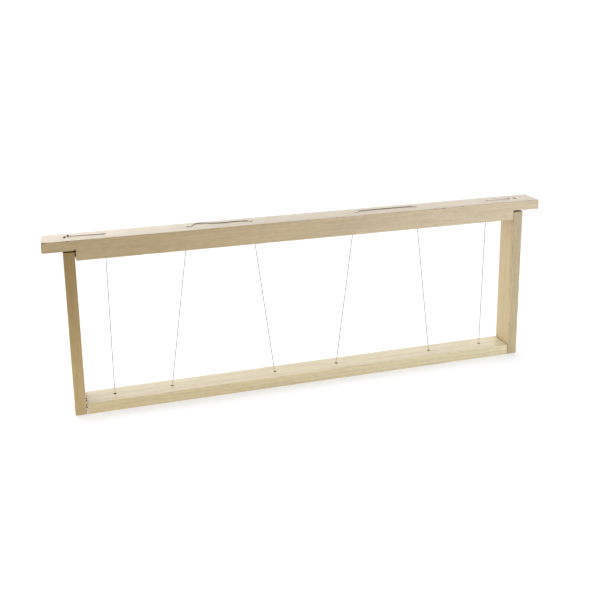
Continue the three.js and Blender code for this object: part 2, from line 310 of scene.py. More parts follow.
# Each bar's softwood. `along` is the grain's axis. `pith` is how far the tree's middle lies from
# the origin and `ring` is a year ring's width, in millimetres. `pale` and `late` are the two
# halves of a year ring. `gloss` and `sheen` set the planed surface. `ends` and `broad` are light
# painted into the wood where the lamps don't give it: `ends` tints the low end of the bar and
# its high end, and `broad` the faces of an upright bar that look sideways.
PLAIN_WOOD = {"broad": None, "gloss": 0.5, "sheen": 0.3}
WOODS = {
    "top_bar": {
        "name": "top_bar_pine", "along": "X", "pith": (0, 60, 35), "ring": 1.9,
        "pale": (0.48, 0.365, 0.205), "late": (0.39, 0.275, 0.135),
        "ends": ((0.91, 0.89, 0.82), (1.06, 1.08, 1.16)),
    },
    "bottom_bar": {
        "name": "bottom_bar_pine", "along": "X", "pith": (0, -22, 60), "ring": 3.1,
        "pale": (0.62, 0.513, 0.31), "late": (0.515, 0.403, 0.223),
        "ends": ((0.97, 0.955, 0.9), (1.01, 1.03, 1.05)),
    },
    "side_bar_left": {
        "name": "side_bar_pine_left", "along": "Z", "pith": (0, 45, 250), "ring": 2.4,
        "pale": (0.317, 0.219, 0.095), "late": (0.26, 0.174, 0.069),
        "ends": ((1.55, 1.66, 1.95), (0.95, 0.93, 0.85)),
        "broad": (0.95, 0.93, 0.88), "gloss": 0.15, "sheen": 0.0,
    },
    "side_bar_right": {
        "name": "side_bar_pine_right", "along": "Z", "pith": (0, 38, -180), "ring": 2.7,
        "pale": (0.415, 0.318, 0.172), "late": (0.343, 0.251, 0.126),
        "ends": ((1.11, 1.12, 1.1), (0.92, 0.9, 0.86)),
        "broad": (1.2, 1.22, 1.22),
    },
}

# How strongly each part of the grain changes the wood's tone.
RING_AMOUNT = 0.5
FIBRE_AMOUNT = 0.16
STREAK_AMOUNT = 0.36
MOTTLE_AMOUNT = 0.3
CLOUD_AMOUNT = 0.2
RAY_AMOUNT = -0.1
# How far the grain sways from straight, and how far in from an edge wear shows, in millimetres.
GRAIN_SWAY = 9
EDGE_REACH = 1.3
WORN_AMOUNT = 0.08
GRUBBY_AMOUNT = -0.16
END_GRAIN_TINT = (1.0, 0.93, 0.82)


def grain_coordinates(shader, along, pith):
    """Coordinates whose X runs along the grain and whose X axis is the tree's middle."""
    turn = (0, math.radians(90), 0) if along == "Z" else (0, 0, 0)
    turned = shader.add("Mapping", {"Vector": shader.place(), "Rotation": turn}).outputs["Vector"]
    centred = shader.vector("ADD", turned, Vector(pith) * MM)
    slow = shader.noise(shader.stretched(centred, (5, 22, 22)), 1.0, output="Color")
    sway = shader.scaled(shader.vector("SUBTRACT", slow, (0.5, 0.5, 0.5)), GRAIN_SWAY * MM)
    return shader.vector("ADD", centred, sway)


def edge_closeness(shader, low, high, reach):
    """1 on an edge of a box and 0 from `reach` away from it, for points on its surface."""
    from_middle = shader.vector("SUBTRACT", shader.place(), (low + high) / 2)
    outside = shader.vector("SUBTRACT", shader.vector("ABSOLUTE", from_middle), (high - low) / 2)
    parts = shader.add("SeparateXYZ", {"Vector": outside}).outputs
    lower = shader.math("MINIMUM", parts["X"], parts["Y"])
    higher = shader.math("MAXIMUM", parts["X"], parts["Y"])
    middle = shader.math("MAXIMUM", lower, shader.math("MINIMUM", higher, parts["Z"]))
    return shader.spread(middle, -reach, 0.0)


def year_rings(shader, grain, ring):
    """0 in pale wood, rising slowly and ending in a thin dark line."""
    wave_scale = 2 * math.pi / (20 * ring * MM)
    rings = shader.add("TexWave", {
        "Vector": grain, "Scale": wave_scale, "Distortion": 1.2, "Detail": 2.0,
        "Detail Scale": 0.04,
    }, wave_type="RINGS", rings_direction="X", wave_profile="SAW").outputs["Fac"]
    line = shader.math("POWER", rings, 3.0)
    return shader.math("MULTIPLY_ADD", line, 0.75, shader.math("MULTIPLY", rings, 0.25))


def grain_textures(shader, grain):
    """Fibres, streaks and the dashes of short rays, which also show in the relief."""
    fibre = shader.grain(grain, (160, 3200, 3200), 3.0, 0.65)
    streak = shader.grain(grain, (14, 700, 700), 3.0, 0.6)
    ray = shader.grain(grain, (420, 2600, 2600), 1.0, place=(3, 1, 2))
    return fibre, streak, shader.spread(ray, 0.66, 0.74)


def grained_tone(shader, grain, wood, year, textures):
    """The wood's colour with its rings, fibres, mottling and slow changes of tone."""
    fibre, streak, dash = textures
    mottle = shader.grain(grain, (160, 420, 420), 3.0, 0.6)
    cloud = shader.grain(grain, (9, 60, 60), 2.0)
    share = shader.math("MULTIPLY", year, RING_AMOUNT)
    tone = shader.blend(share, colour(*wood["pale"]), colour(*wood["late"]))
    light = shader.math("MULTIPLY_ADD", fibre, FIBRE_AMOUNT, 1 - FIBRE_AMOUNT / 2)
    light = shader.varied(light, streak, STREAK_AMOUNT)
    light = shader.varied(light, mottle, MOTTLE_AMOUNT)
    light = shader.varied(light, cloud, CLOUD_AMOUNT)
    light = shader.math("MULTIPLY_ADD", dash, RAY_AMOUNT, light)
    return shader.scaled(tone, light)


def tinted(shader, tone, wood, low, high, normal):
    """The tone with the painted light of its two ends and of its broad faces."""
    axis = "XYZ".index(wood["along"])
    position = shader.spread(shader.part(shader.place(), wood["along"]), low[axis], high[axis])
    low_end, high_end = wood["ends"]
    ends = shader.blend(position, colour(*low_end), colour(*high_end))
    tone = shader.vector("MULTIPLY", tone, ends)
    if wood["broad"]:
        sideways = shader.math("ABSOLUTE", shader.part(normal, "X"))
        faces = shader.blend(shader.spread(sideways, 0.5, 0.9), colour(*WHITE),
                             colour(*wood["broad"]))
        tone = shader.vector("MULTIPLY", tone, faces)
    return tone


def end_grained(shader, tone, grain, end):
    """End grain soaks up light and dirt."""
    pores = shader.add("TexVoronoi", {
        "Vector": shader.stretched(grain, (200, 2600, 2600)), "Scale": 1.0,
    }).outputs["Distance"]
    open_pores = shader.spread(pores, 0.1, 0.45, 0.62, 0.86)
    end_tone = shader.scaled(shader.vector("MULTIPLY", tone, END_GRAIN_TINT), open_pores)
    return shader.blend(end, tone, end_tone)


def edge_worn(shader, tone, low, high):
    """Crushed fibres along the edges, paler in places and grubby in others."""
    edge = edge_closeness(shader, low, high, EDGE_REACH * MM)
    rub = shader.noise(shader.place(), 180.0, 3.0, 0.7)
    worn = shader.math("MULTIPLY", edge, shader.spread(rub, 0.45, 0.62))
    grubby = shader.math("MULTIPLY", edge, shader.spread(rub, 0.42, 0.3))
    tone = shader.scaled(tone, shader.math("MULTIPLY_ADD", worn, WORN_AMOUNT, 1.0))
    return shader.scaled(tone, shader.math("MULTIPLY_ADD", grubby, GRUBBY_AMOUNT, 1.0))


def wood_relief(shader, year, textures):
    fibre, streak, dash = textures
    height = shader.math("MULTIPLY_ADD", fibre, 0.6, shader.math("MULTIPLY", year, -0.25))
    height = shader.math("MULTIPLY_ADD", dash, -0.5, height)
    height = shader.math("MULTIPLY_ADD", streak, 0.5, height)
    bump = shader.add("Bump", {"Height": height, "Strength": 0.35, "Distance": 0.12 * MM})
    return bump.outputs["Normal"]


def wood_material(node):
    """Planed softwood for a bar."""
    wood = {**PLAIN_WOOD, **WOODS[node]}
    shader = Shader(wood["name"])
    low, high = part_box(node)
    grain = grain_coordinates(shader, wood["along"], wood["pith"])
    normal = shader.add("NewGeometry", {}).outputs["Normal"]
    facing = shader.math("ABSOLUTE", shader.part(normal, wood["along"]))
    end = shader.spread(facing, 0.6, 0.9)
    year = year_rings(shader, grain, wood["ring"])
    textures = grain_textures(shader, grain)
    tone = grained_tone(shader, grain, wood, year, textures)
    tone = tinted(shader, tone, wood, low, high, normal)
    tone = end_grained(shader, tone, grain, end)
    tone = edge_worn(shader, tone, low, high)
    rough = shader.math("MULTIPLY_ADD", textures[0], 0.22, 0.35)
    rough = shader.math("MULTIPLY_ADD", end, 0.18, rough)
    shader.feed(shader.surface, {
        "Base Color": tone, "Roughness": rough, "Normal": wood_relief(shader, year, textures),
        "Specular IOR Level": wood["gloss"], "Sheen Weight": wood["sheen"],
        "Sheen Roughness": 0.4,
    })
    return shader.material


# Drilled, driven and torn wood: the colours in its hollows and on its fibres.
CUT_WOODS = {
    "drilled_wood": ((0.42, 0.31, 0.11), (0.62, 0.5, 0.24)),
    "burnt_wood": ((0.3, 0.12, 0.015), (0.5, 0.27, 0.06)),
    # The torn wood's near-black colours are painted shade in the slots, tack holes and nicks that
    # take it.
    "torn_wood_painted_shade": ((0.05, 0.022, 0.012), (0.2, 0.11, 0.045)),
}


def cut_wood_material(name):
    """Browned walls with ragged fibres; the torn wood's near-black walls are painted shade."""
    inner, outer = CUT_WOODS[name]
    shader = Shader(name)
    ragged = shader.noise(shader.place(), 1400.0, 4.0, 0.7)
    tone = shader.blend(shader.spread(ragged, 0.35, 0.65), colour(*inner), colour(*outer))
    bump = shader.add("Bump", {"Height": ragged, "Strength": 0.6, "Distance": 0.2 * MM})
    shader.feed(shader.surface, {
        "Base Color": tone, "Roughness": 0.85, "Normal": bump.outputs["Normal"],
    })
    return shader.material


# Each steel's bright and dull colours, its least roughness, and the scale of its fine lines
# along each axis. The wire also has a bright colour, a painted glint on its runs to the tacks.
STEELS = {
    "wire_steel_drawn": ((0.09, 0.09, 0.1), (0.05, 0.05, 0.06), 0.25, (900, 2600, 900)),
    # Two alike tacks: the left one's steel is darker and the right one's lighter.
    "tack_steel_dark": ((0.05, 0.035, 0.055), (0.02, 0.015, 0.022), 0.5, (900, 900, 900)),
    "tack_steel_light": ((0.42, 0.38, 0.4), (0.2, 0.17, 0.19), 0.4, (900, 900, 900)),
    # The staples' near-black steel paints the shade that lies over their sunk crowns.
    "staple_steel_painted_shade": ((0.07, 0.055, 0.05), (0.03, 0.02, 0.018), 0.35, (2400, 500, 2400)),
}
# The wire's bright colour, a painted glint where it lies on the runs to the tacks.
BRIGHT_WIRE_AND_GLINT = (0.92, 0.9, 0.88)


def steel_material(name, bright_and_glint=None):
    """Drawn steel: fine lines along the wire and a film that dulls it in patches. The second colour
    is the bright one where the mesh's darkness attribute is 0, a painted glint on the tack runs."""
    bright, dull, roughness, stretch = STEELS[name]
    shader = Shader(name)
    film = shader.noise(shader.place(), 420.0, 3.0, 0.6)
    drawn = shader.grain(shader.place(), stretch, 2.0, 0.6)
    tone = shader.blend(shader.spread(film, 0.38, 0.64), colour(*bright), colour(*dull))
    if bright_and_glint:
        dark_share = shader.add("Attribute", {}, attribute_name="wire_darkness").outputs["Fac"]
        tone = shader.blend(dark_share, colour(*bright_and_glint), tone)
    tone = shader.scaled(tone, shader.math("MULTIPLY_ADD", drawn, 0.3, 0.85))
    rough = shader.math("MULTIPLY_ADD", film, 0.3, roughness)
    bump = shader.add("Bump", {"Height": drawn, "Strength": 0.2, "Distance": 0.02 * MM})
    shader.feed(shader.surface, {
        "Base Color": tone, "Roughness": rough, "Metallic": 1.0,
        "Normal": bump.outputs["Normal"],
    })
    return shader.material


# ---- Mesh tools ----

def make_object(name, mesh, materials):
    piece = bpy.data.objects.new(name, mesh)
    bpy.context.scene.collection.objects.link(piece)
    for material in materials:
        mesh.materials.append(material)
    return piece


def mesh_from(name, points, faces, slot=0):
    mesh = bpy.data.meshes.new(name)
    mesh.from_pydata(points, [], faces)
    mesh.validate()
    shaped = bmesh.new()
    shaped.from_mesh(mesh)
    bmesh.ops.recalc_face_normals(shaped, faces=shaped.faces)
    for face in shaped.faces:
        face.material_index = slot
    shaped.to_mesh(mesh)
    shaped.free()
    return mesh


def stack_rings(rings):
    """Faces that join equal closed rings in a stack, with both ends filled. Returns the points
    and the faces."""
    count = len(rings[0])
    points = [point for ring in rings for point in ring]
    faces = []
    for level in range(len(rings) - 1):
        for index in range(count):
            following = (index + 1) % count
            here, above = level * count, (level + 1) * count
            faces.append((here + index, here + following, above + following, above + index))
    faces.append(tuple(range(count)))
    faces.append(tuple(range((len(rings) - 1) * count, len(rings) * count)))
    return points, faces


def sweep(points, section, twist_axis):
    """Rings of a section carried along a route without twisting. `section` gives the outline
    for a point's index, as (side, up) pairs."""
    rings = []
    tangent = (points[1] - points[0]).normalized()
    side = twist_axis.cross(tangent).normalized()
    for index, point in enumerate(points):
        before = points[max(index - 1, 0)]
        after = points[min(index + 1, len(points) - 1)]
        arriving = (point - before).normalized() if index else tangent
        leaving = (after - point).normalized() if index < len(points) - 1 else arriving
        bisector = (arriving + leaving).normalized()
        side = tangent.rotation_difference(bisector) @ side
        tangent = bisector
        side = (side - tangent * side.dot(tangent)).normalized()
        up = tangent.cross(side)
        rings.append([point + side * s + up * u for s, u in section(index)])
    return rings


def circle(radius, count):
    angles = [2 * math.pi * index / count for index in range(count)]
    return [(radius * math.cos(angle), radius * math.sin(angle)) for angle in angles]


def join(name, shapes, slot):
    """One mesh from several (points, faces) pairs."""
    points, faces = [], []
    for shape_points, shape_faces in shapes:
        start = len(points)
        points.extend(shape_points)
        faces.extend(tuple(start + index for index in face) for face in shape_faces)
    return mesh_from(name, points, faces, slot)


def carve(piece, groups):
    """Cuts groups of closed shapes out of a piece and keeps the result as its mesh. Each group
    comes with the material slot that its cut faces take."""
    cutters = []
    for index, (slot, shapes) in enumerate(groups):
        mesh = join(f"{piece.name}_cutter_{index}", shapes, slot)
        cutter = make_object(mesh.name, mesh, piece.data.materials)
        modifier = piece.modifiers.new(mesh.name, "BOOLEAN")
        modifier.operation = "DIFFERENCE"
        modifier.solver = "EXACT"
        modifier.material_mode = "INDEX"
        modifier.object = cutter
        cutters.append(cutter)
    bpy.context.view_layer.update()
    seen = piece.evaluated_get(bpy.context.evaluated_depsgraph_get())
    carved = bpy.data.meshes.new_from_object(seen)
    piece.modifiers.clear()
    before = piece.data
    piece.data = carved
    bpy.data.meshes.remove(before)
    for cutter in cutters:
        bpy.data.meshes.remove(cutter.data)


def dress(piece, node, body="root", sharp=38):
    """Smooth shading that keeps sharp corners, and the piece's place in the frame's table."""
    piece.data.shade_smooth()
    piece.data.set_sharp_from_angle(angle=math.radians(sharp))
    weighted = piece.modifiers.new("even_normals", "WEIGHTED_NORMAL")
    weighted.keep_sharp = True
    weighted.weight = 100
    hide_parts(node)
    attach(piece, body)


# ---- Bars ----

EDGE_STEPS = 4
OUTLINE_SPACING = 3.0
LAYER_SPACING = 4.0
# How deep the open mouth of a butted joint is, and the gap that is left behind it.
JOINT_MOUTH = 6.0
CLOSED_GAP = 0.1
RIGHT_MOUTH_OPENING = 0.35
# How far each side bar's top falls towards its inner end, which opens the joint.
SIDE_SLOPES = {"left": 0.25, "right": 0.6}
# How far the bottom bar's left end is sawn out of square.
BOTTOM_SLOPE = 0.75
# How far from a bar's end its shape is bent to meet the joint.
TOP_BEND, BOTTOM_BEND, SIDE_BEND = 6, 6, 4

# Each bar's outline radius, edge radius and raggedness. The edge radius stays below the
# outline's, or the face's ring would turn inside out.
BAR_EDGES = {
    "top_bar": (0.8, 0.45, 0.5),
    "bottom_bar": (0.55, 0.4, 0.45),
    "side_bar_left": (0.7, 0.6, 0.4),
    "side_bar_right": (0.7, 0.65, 0.4),
}

# Small random nicks: how far they keep from a bar's ends, and their half-widths and half-lengths.
NICK_MARGIN = 8
NICK_WIDTHS = (0.16, 0.32)
NICK_LENGTHS = (0.6, 1.8)

# The nicks in the top bar's front upper edge: place along X, half-lengths and seed.
TOP_EDGE_NICKS = [
    (-219, (0.9, 0.6, 0.9), 1), (25.8, (1.4, 0.5, 0.6), 2), (32.8, (1.1, 0.4, 0.5), 3),
    (126.5, (1.5, 0.45, 0.6), 4), (136, (2.0, 0.5, 0.6), 5), (156.5, (1.3, 0.4, 0.5), 6),
]


def outline_of(corners):
    """An outline in (x, z) from right-angled corners with their radii, listed anticlockwise as
    seen from the front. Each point comes with the direction that moves it outward."""
    count = len(corners)
    stretches = []
    for index, (corner, radius) in enumerate(corners):
        before = (corners[index - 1][0] - corner).normalized()
        after = (corners[(index + 1) % count][0] - corner).normalized()
        arriving_out = Vector((-before.y, before.x))
        leaving_out = Vector((after.y, -after.x))
        if radius == 0:
            stretches.append([(corner, arriving_out + leaving_out, arriving_out, leaving_out)])
            continue
        centre = corner + (before + after) * radius
        arc = []
        for step in range(EDGE_STEPS + 1):
            angle = math.pi / 2 * step / EDGE_STEPS
            outward = -(before * math.sin(angle) + after * math.cos(angle))
            arc.append((centre + outward * radius, outward, arriving_out, leaving_out))
        stretches.append(arc)
    outline = []
    for index, stretch in enumerate(stretches):
        outline.extend((point, outward) for point, outward, _, _ in stretch)
        start = stretch[-1][0]
        end = stretches[(index + 1) % count][0][0]
        out = stretch[-1][3]
        steps = max(1, round((end - start).length / (OUTLINE_SPACING * MM)))
        outline.extend((start.lerp(end, step / steps), out) for step in range(1, steps))
    return outline


def wear_depth(place, edge, wear):
    """How far wear and the plane have taken a point in, in metres."""
    slow = noise.noise(place * 28) * 0.5 + 0.5
    quick = noise.noise(place * 330 + Vector((7, 3, 5))) * 0.5 + 0.5
    ragged = max(0.0, noise.noise(place * 160 + Vector((1, 9, 4))) - 0.25)
    on_edge = edge * (0.12 * slow + 0.1 * quick + wear * ragged)
    on_face = (1 - edge) * 0.03 * slow
    return (on_edge + on_face) * MM


def bar_rings(outline, low_y, high_y, edge_radius, wear):
    """The rings of a bar from its front face to its back face, with rounded and worn edges."""
    layers = []
    for step in range(EDGE_STEPS + 1):
        angle = math.pi / 2 * step / EDGE_STEPS
        inset = edge_radius * (1 - math.sin(angle))
        depth = edge_radius * (1 - math.cos(angle))
        # The face's own ring isn't worn, so that the face stays flat.
        worn = min(1.0, step / 2)
        layers.append((low_y + depth, inset, -math.cos(angle), worn))
    inner = (high_y - low_y) - 2 * edge_radius
    count = max(2, round(inner / (LAYER_SPACING * MM)))
    levels = [low_y + edge_radius + inner * step / count for step in range(1, count)]
    middle = [(y, 0.0, 0.0, 0.0) for y in levels]
    back = [(low_y + high_y - y, inset, -lean, edge) for y, inset, lean, edge in reversed(layers)]
    rings = []
    for y, inset, lean, edge in layers + middle + back:
        ring = []
        for point, outward in outline:
            flat = point - outward * inset
            place = Vector((flat.x, y, flat.y))
            along = Vector((outward.x, 0, outward.y)) * math.sqrt(1 - lean * lean)
            direction = along + Vector((0, lean, 0))
            corner = 1.0 if abs(outward.x) > 0.2 and abs(outward.y) > 0.2 else 0.0
            depth = wear_depth(place, max(edge, corner), wear) if abs(lean) < 1 else 0.0
            ring.append(place - direction.normalized() * depth)
        rings.append(ring)
    return rings


def box_outline(low, high, radius):
    corners = [(low.x, low.z), (high.x, low.z), (high.x, high.z), (low.x, high.z)]
    return outline_of([(Vector(corner), radius) for corner in corners])


def top_bar_outline(radius):
    """The top bar's outline with its two lugs, the reliefs over the side bars and the rounded
    lower shoulders."""
    half = top_high.x
    seat = LUG_UNDERSIDE + SEAT_RELIEF * MM
    seat_end = SIDE_OUTER + JOINT_GAP * MM
    right = [
        ((SHOULDER, top_low.z), SHOULDER_ROUND * MM),
        ((SHOULDER, seat), 0),
        ((seat_end, seat), 0),
        ((seat_end, LUG_UNDERSIDE), 0),
        ((half, LUG_UNDERSIDE), radius),
        ((half, top_high.z), radius),
    ]
    left = [((-x, z), corner) for (x, z), corner in reversed(right)]
    return outline_of([(Vector(corner), size) for corner, size in right + left])


def behind_front(place, front):
    """0 in the mouth of a joint and 1 further behind a bar's front face."""
    layers = (place.y - front) / (LAYER_SPACING * MM)
    return min(1.0, max(0.0, layers - JOINT_MOUTH / LAYER_SPACING))


def strand(index):
    """The points where a strand's axis meets the standing plane and the top face."""
    bottom = Vector((STRAND_BOTTOM_SHARES[index] * SIDE_INNER, 0, 0))
    top = Vector((STRAND_TOP_SHARES[index] * SIDE_INNER, 0, FRAME_HEIGHT))
    return bottom, top


def at_height(index, height):
    bottom, top = strand(index)
    return bottom.lerp(top, height / FRAME_HEIGHT)


def drill(index, stations):
    """A drilled hole along a strand. `stations` gives its radius at each height, and its mouths
    are a little ragged."""
    sides = 28
    rings = []
    for height, radius in stations:
        centre = at_height(index, height)
        ring = []
        for x, y in circle(radius, sides):
            torn = noise.noise(Vector((x, y, height)) * 900 + Vector((index * 5, 0, 0)))
            grow = 1 + 0.16 * torn * (radius / (WIRE_HOLE_DIAMETER / 2 * MM) - 0.7)
            ring.append(centre + Vector((x * grow, y * grow, 0)))
        rings.append(ring)
    return stack_rings(rings)


def drills(low, high, lower_mouth, upper_mouth):
    """The six wire holes through one bar, each widened at its two mouths by that much."""
    radius = WIRE_HOLE_DIAMETER / 2 * MM
    lip = 0.5 * MM
    stations = [
        (low - 2 * lip, radius + 2 * lower_mouth),
        (low, radius + lower_mouth),
        (low + lip, radius),
        (high - lip, radius),
        (high, radius + upper_mouth),
        (high + 2 * lip, radius + 2 * upper_mouth),
    ]
    return [drill(index, stations) for index in range(len(STRAND_TOP_SHARES))]


def chip(place, size, seed):
    """A rough splinter-shaped cutter: a ball stretched to `size` half-lengths in millimetres."""
    ball = bmesh.new()
    bmesh.ops.create_icosphere(ball, subdivisions=3, radius=1)
    half = Vector(size) * MM
    points = []
    for vertex in ball.verts:
        rough = 1 + 0.45 * noise.noise(vertex.co * 2.3 + Vector((seed * 3.7, 0, 0)))
        grown = vertex.co * rough
        stretched = Vector((grown.x * half.x, grown.y * half.y, grown.z * half.z))
        points.append(Vector(place) + stretched)
    faces = [tuple(vertex.index for vertex in face.verts) for face in ball.faces]
    ball.free()
    return points, faces


def scattered_chips(low, high, along, count, seed):
    """Small nicks at random places along a bar's four long edges."""
    pick = random.Random(seed)
    axis = "XYZ".index(along)
    across = [index for index in range(3) if index != axis]
    chips = []
    for number in range(count):
        place = Vector((0, 0, 0))
        place[axis] = pick.uniform(low[axis] + NICK_MARGIN * MM, high[axis] - NICK_MARGIN * MM)
        for index in across:
            place[index] = pick.choice((low[index], high[index]))
        size = [pick.uniform(*NICK_WIDTHS) for _ in range(3)]
        size[axis] = pick.uniform(*NICK_LENGTHS)
        chips.append(chip(place, size, seed + number))
    return chips


def box_shape(low, high):
    """A closed box as points and faces, for cutters."""
    rings = []
    for z in (low.z, high.z):
        ring = [(low.x, low.y, z), (high.x, low.y, z), (high.x, high.y, z), (low.x, high.y, z)]
        rings.append([Vector(point) for point in ring])
    return stack_rings(rings)


def grow_box(low, high, amounts):
    grow = Vector(amounts) * MM
    return low - grow, high + grow


def staple_slot(node, outward):
    """The slit that a staple has driven itself, a little wider than the staple, and open to the
    surface on the side that `outward` points to."""
    low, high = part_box(node)
    low, high = grow_box(low, high, (0.14, 0.14, 0.08))
    opened = Vector(outward) * 2 * MM
    low = Vector(min(low[i], low[i] + opened[i]) for i in range(3))
    high = Vector(max(high[i], high[i] + opened[i]) for i in range(3))
    return box_shape(low, high)


def tack_hole(node):
    low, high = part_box(node)
    middle = (low + high) / 2
    radius = (TACK_SHANK_DIAMETER / 2 + 0.06) * MM
    rings = []
    for height, reach in ((low.z - 0.1 * MM, radius), (FRAME_HEIGHT - 0.3 * MM, radius),
                          (FRAME_HEIGHT + 0.4 * MM, radius + 0.7 * MM)):
        rings.append([Vector((middle.x + x, middle.y + y, height)) for x, y in circle(reach, 24)])
    return stack_rings(rings)


def groove(index):
    """The groove that the wire has pulled into the bottom bar's underside."""
    from_x = at_height(index, 0).x
    to_x = at_height(index + 1, 0).x
    half = (WIRE_DIAMETER / 2 + 0.12) * MM
    low = Vector((from_x, -half, -1 * MM))
    high = Vector((to_x, half, GROOVE_DEPTH * MM))
    return box_shape(low, high)


def make_bar(name, outline, low_y, high_y, edge_radius, wear, materials, bend=None):
    rings = bar_rings(outline, low_y, high_y, edge_radius * MM, wear)
    if bend:
        rings = [[bend(point) for point in ring] for ring in rings]
    points, faces = stack_rings(rings)
    return make_object(name, mesh_from(name, points, faces), materials)


def top_bar_nicks():
    """The nicks on the front upper edge and at the left lug and shoulder, random ones, and the
    ragged pits that the lug staples' crowns have made."""
    front, top, left_end = top_low.y, top_high.z, -top_high.x
    nicks = [chip((x * MM, front, top), size, seed) for x, size, seed in TOP_EDGE_NICKS]
    nicks += [
        chip((left_end, front, top - 4 * MM), (0.8, 0.7, 0.9), 8),
        chip((left_end, front, top - 7 * MM), (0.7, 0.8, 0.7), 9),
        chip((-SHOULDER - 0.2 * MM, front, LUG_UNDERSIDE), (1.3, 1.5, 1.2), 12),
        chip((-SHOULDER, front, LUG_UNDERSIDE - 3.4 * MM), (0.7, 1.0, 1.2), 13),
    ]
    nicks += scattered_chips(top_low, top_high, "X", 14, 40)
    for side in ("left", "right"):
        low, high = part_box(f"lug_staple_{side}")
        crown = Vector(((low.x + high.x) / 2, (low.y + high.y) / 2, top))
        nicks.append(chip(crown, (1.0, 3.4, 0.8), 20))
    return nicks


def top_bar_bruises():
    """Shallow yellow bruises at the right lug's corners and beside the right wire run."""
    front, top, right_end = top_low.y, top_high.z, top_high.x
    return [
        chip((right_end - 1.5 * MM, front, top - 2 * MM), (1.6, 0.3, 1.6), 10),
        chip((right_end - 0.5 * MM, front, LUG_UNDERSIDE + 0.8 * MM), (1.1, 0.5, 1.0), 11),
        chip((202.3 * MM, 8.5 * MM, top + 0.3 * MM), (1.5, 1.6, 0.9), 14),
    ]


def make_top_bar(materials):
    def closed_behind(point):
        """The shoulders touch the side bars behind the joints' open mouths."""
        if point.z > LUG_UNDERSIDE + SEAT_RELIEF / 2 * MM or abs(point.x) > SHOULDER + 0.1 * MM:
            return point
        near_end = max(0.0, 1 - (SHOULDER - abs(point.x)) / (TOP_BEND * MM))
        rear = behind_front(point, top_low.y)
        opening = RIGHT_MOUTH_OPENING if point.x > 0 else 0
        reach = ((JOINT_GAP - CLOSED_GAP) * rear - opening * (1 - rear)) * MM * near_end
        return point + Vector((math.copysign(reach, point.x), 0, 0))

    radius, edge_radius, wear = BAR_EDGES["top_bar"]
    bar = make_bar("planed_top_bar", top_bar_outline(radius * MM), top_low.y, top_high.y,
                   edge_radius, wear, materials, closed_behind)
    holes = drills(top_low.z, top_high.z, 0.25 * MM, 0.3 * MM)
    sides = ("left", "right")
    slots = [staple_slot(f"lug_staple_{side}", (0, 0, 1)) for side in sides]
    slots += [staple_slot(f"shoulder_staple_{side}", (0, 0, 0)) for side in sides]
    tacks = [tack_hole(f"wire_tack_{side}") for side in sides]
    # A clean bruise on the left lug's corner.
    clean_bruise = chip((-top_high.x, top_low.y, top_high.z), (4.5, 1.6, 1.5), 7)
    # The torn wood in slot 2 paints shade into the staple slots, tack holes and nicks.
    carve(bar, [
        (1, holes), (1, top_bar_bruises()), (2, slots + tacks), (2, top_bar_nicks()),
        (0, [clean_bruise]),
    ])
    dress(bar, "top_bar")


def make_bottom_bar(materials):
    def out_of_square(point):
        """The left end is sawn a little out of square, so its joint opens downward."""
        near_end = max(0.0, (-point.x - SHOULDER + BOTTOM_BEND * MM) / (BOTTOM_BEND * MM))
        lower = 1 - point.z / bottom_high.z
        return point + Vector((near_end * lower * BOTTOM_SLOPE * MM, 0, 0))

    radius, edge_radius, wear = BAR_EDGES["bottom_bar"]
    bar = make_bar("planed_bottom_bar", box_outline(bottom_low, bottom_high, radius * MM),
                   bottom_low.y, bottom_high.y, edge_radius, wear, materials, out_of_square)
    holes = drills(bottom_low.z, bottom_high.z, 0.0, 0.2 * MM)
    slots = []
    for side in ("left", "right"):
        slots += [staple_slot(f"bottom_staple_{side}_{number}", (0, 0, 0)) for number in (1, 2)]
    nicks = scattered_chips(bottom_low, bottom_high, "X", 12, 80)
    carve(bar, [(1, holes), (1, slots), (1, [groove(0), groove(2), groove(4)]), (1, nicks)])
    dress(bar, "bottom_bar")


def make_side_bar(side, sign, materials):
    """A side bar whose top is sawn out of square. Behind its mouth the joint is closed."""
    node = f"side_bar_{side}"
    slope = SIDE_SLOPES[side]
    radius, edge_radius, wear = BAR_EDGES[node]
    low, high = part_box(node)

    def out_of_square(point):
        near_top = max(0.0, (point.z - high.z + SIDE_BEND * MM) / (SIDE_BEND * MM))
        inner = (SIDE_OUTER - sign * point.x) / (SIDE_OUTER - SIDE_INNER)
        rear = behind_front(point, low.y)
        drop = (1 - rear) * inner * slope - rear * (SEAT_RELIEF + JOINT_GAP - CLOSED_GAP)
        return point - Vector((0, 0, near_top * drop * MM))

    bar = make_bar(f"planed_{node}", box_outline(low, high, radius * MM), low.y, high.y,
                   edge_radius, wear, materials, out_of_square)
    outward = (sign, 0, 0)
    slots = [staple_slot(f"shoulder_staple_{side}", outward)]
    slots += [staple_slot(f"bottom_staple_{side}_{number}", outward) for number in (1, 2)]
    lug_slot = [staple_slot(f"lug_staple_{side}", (0, 0, 0))]
    nicks = scattered_chips(low, high, "Z", 8, 120 + int(sign * 7))
    # The torn wood in slot 1 paints shade into the staple slots and nicks.
    carve(bar, [(1, slots), (1, lug_slot), (1, nicks)])
    dress(bar, node)


# ---- Wire ----

def smooth_through(points, steps):
    """A Catmull-Rom curve through the points."""
    curve = []
    for index in range(len(points) - 1):
        first = points[max(index - 1, 0)]
        second, third = points[index], points[index + 1]
        fourth = points[min(index + 2, len(points) - 1)]
        for step in range(steps):
            t = step / steps
            curve.append(0.5 * (
                2 * second + (third - first) * t
                + (2 * first - 5 * second + 4 * third - fourth) * t ** 2
                + (3 * second - first - 3 * third + fourth) * t ** 3
            ))
    curve.append(points[-1])
    return curve


